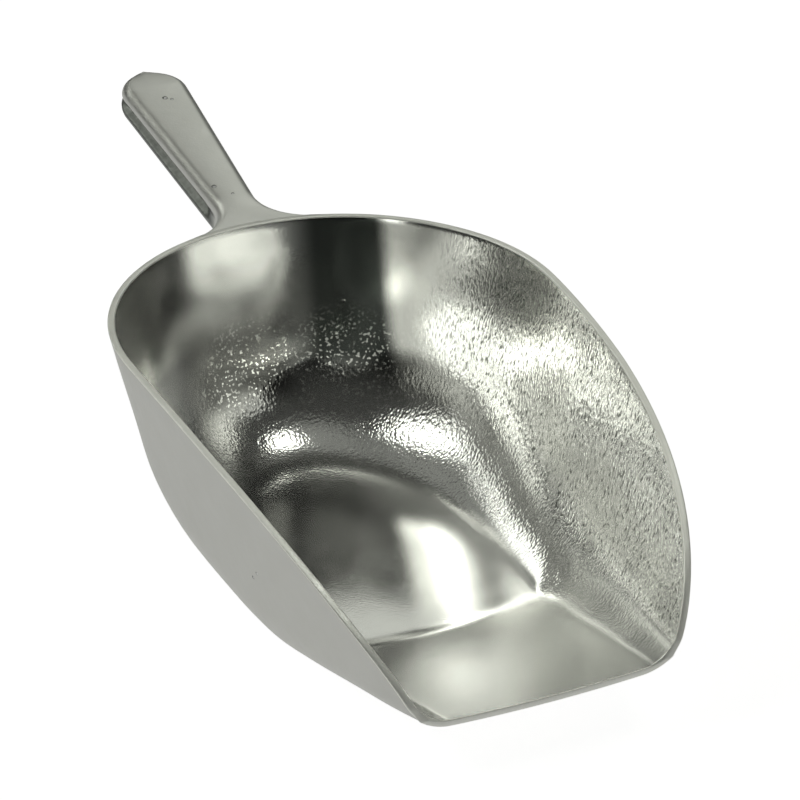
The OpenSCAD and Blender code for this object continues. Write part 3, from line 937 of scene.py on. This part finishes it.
def build_floor():
    """A plain pale floor that glows evenly to the camera."""
    h = FLOOR_HALF
    mesh = bpy.data.meshes.new("stage_floor")
    mesh.from_pydata([(-h, -h, 0), (h, -h, 0), (h, h, 0), (-h, h, 0)], [], [(0, 1, 2, 3)])
    floor = bpy.data.objects.new("stage_floor", mesh)
    floor.location = (0, 0, -FLOOR_DROP)
    bpy.context.scene.collection.objects.link(floor)
    m = bpy.data.materials.new("pale_floor")
    m.use_nodes = True
    m.node_tree.nodes.clear()
    g = Graph(m.node_tree)
    seen = g.node("ShaderNodeLightPath").outputs["Is Camera Ray"]
    where = g.node("ShaderNodeNewGeometry").outputs["Position"]
    glow = g.node("ShaderNodeEmission")
    unseen = g.ease(split(g, where)[1], *GLOW_SPAN, *GLOW_LEVEL)
    g.put(g.mix(seen, unseen, GLOW_SEEN), glow.inputs["Strength"])
    matt = g.node("ShaderNodeBsdfDiffuse")
    matt.inputs["Color"].default_value = FLOOR_MATT
    both = g.node("ShaderNodeAddShader")
    g.put(glow.outputs[0], both.inputs[0])
    g.put(matt.outputs[0], both.inputs[1])
    g.put(both.outputs[0], g.node("ShaderNodeOutputMaterial").inputs["Surface"])
    mesh.materials.append(m)


# Soft lights round the object: azimuth (0 behind the grip, 90 right), elevation, half width,
# half height, edge softness in degrees, brightness, and the fewest and most reflections after
# which the light is seen. A light that needs two or more shows only where the bowl mirrors
# itself, and stands in for surroundings that the scene doesn't have.
SOFTBOXES = (
    (-73, 46, 5.5, 7, 2, 5.5, 1, 9),
    (-20, 37.5, 19, 4.5, 2.5, 2.8, 1, 9),
    (98, 70, 9, 7, 3, 4.5, 1, 9),
    (134, 23, 17, 12, 3, 0.72, 1, 9),
    (-136, 5, 8, 6, 3, 2.2, 1, 9),
    (42, 38, 18, 14, 8, 0.85, 1, 9),
    (-35, 53, 30, 9, 8, 0.25, 1, 9),
    (-87, 52, 10, 3.5, 2, 2.8, 2, 2),
    (-66, 40, 5, 7, 3, 3.4, 2, 2),
    (160, 30, 5, 15, 3, 3.4, 2, 2),
    (-147, 30, 5, 4, 2, 2.0, 2, 2),
    (-166, 41, 40, 18, 4, 6.0, 3, 5),
    (-148, 31, 46, 15, 6, 1.15, 2, 2),
    (-62, 33, 15, 8, 4, 1.5, 1, 9),
    (-103, 35, 8, 5, 3, 4.2, 3, 3),
    (180, 72, 45, 12, 6, 1.3, 3, 9),
    (-82, 29, 16, 6, 4, 1.0, 3, 3),
    (0, 89, 14, 14, 4, 3.0, 3, 9),
)
# Light from everywhere, and the soft light overhead: where it begins, and its brightness
DARK = 0.045
OVERHEAD_FROM = math.radians(55)
OVERHEAD = 0.22
# Keeps directions behind a soft box from being divided by zero
LEAST_AHEAD = 0.001
# Colour of all these lights
LIGHT_TINT = (0.975, 1.0, 0.93, 1)


def softbox(g, d, az, el, half_w, half_h, soft, level):
    """Brightness of one soft rectangular light along direction d."""
    a, e = math.radians(az), math.radians(el)
    ahead = Vector((math.sin(a) * math.cos(e), math.cos(a) * math.cos(e), math.sin(e)))
    right = Vector((math.cos(a), -math.sin(a), 0))
    up = right.cross(ahead)
    w = g.math("MAXIMUM", g.vector("DOT_PRODUCT", d, tuple(ahead)), LEAST_AHEAD)
    out = level
    for axis, half in ((right, half_w), (up, half_h)):
        u = g.math("ABSOLUTE", g.math("DIVIDE", g.vector("DOT_PRODUCT", d, tuple(axis)), w))
        lo, hi = math.tan(math.radians(half - soft)), math.tan(math.radians(half + soft))
        out = g.times(g.ease(u, hi, lo), out)
    return out


def build_world():
    """White to the camera, and a dark room with the soft lights to everything else."""
    world = bpy.data.worlds.new("studio")
    world.use_nodes = True
    g = Graph(world.node_tree)
    d = g.node("ShaderNodeTexCoord").outputs["Generated"]
    path = g.node("ShaderNodeLightPath").outputs
    depth, seen = path["Ray Depth"], path["Is Camera Ray"]
    light = DARK
    for *box, fewest, most in SOFTBOXES:
        part = softbox(g, d, *box)
        if fewest > 1:
            # Ray Depth is one more than the number of reflections
            enough = g.math("GREATER_THAN", depth, fewest + 0.5)
            not_too_many = g.math("LESS_THAN", depth, most + 1.5)
            part = g.times(enough, part, not_too_many)
        light = g.math("ADD", part, light)
    light = g.math("ADD", light, g.ease(split(g, d)[2], math.sin(OVERHEAD_FROM), 1.0, 0.0, OVERHEAD))
    back = world.node_tree.nodes["Background"]
    g.put(g.tint(seen, LIGHT_TINT, WHITE), back.inputs["Color"])
    g.put(g.mix(seen, light, 1.0), back.inputs["Strength"])
    bpy.context.scene.world = world


# Camera: azimuth (0 in front of the lip), elevation and roll in degrees, the point it looks at,
# its distance in metres, its lens and sensor in mm, and how far it sees
CAMERA_TURN = (-25.87, 28.91, 0.87)
CAMERA_AIM = (0.0362, 0.0482, 0.0326)
CAMERA_AWAY = 1.224
CAMERA_LENS, CAMERA_SENSOR = 144.0, 36.0
CAMERA_REACH = 50.0


def build_camera():
    """The camera at the photographed view."""
    az, el, roll = (math.radians(k) for k in CAMERA_TURN)
    away = Vector((math.sin(az) * math.cos(el), -math.cos(az) * math.cos(el), math.sin(el)))
    right = Vector((math.cos(az), math.sin(az), 0))
    up = away.cross(right)
    right, up = (right * math.cos(roll) + up * math.sin(roll),
                 up * math.cos(roll) - right * math.sin(roll))
    data = bpy.data.cameras.new("camera")
    data.lens, data.sensor_width, data.clip_end = CAMERA_LENS, CAMERA_SENSOR, CAMERA_REACH
    cam = bpy.data.objects.new("camera", data)
    place = Matrix((right, up, away)).transposed().to_4x4()
    place.translation = Vector(CAMERA_AIM) + away * CAMERA_AWAY
    cam.matrix_world = place
    bpy.context.scene.collection.objects.link(cam)
    bpy.context.scene.camera = cam


build_floor()
build_world()
build_camera()
bpy.context.scene.view_settings.view_transform = "Standard"
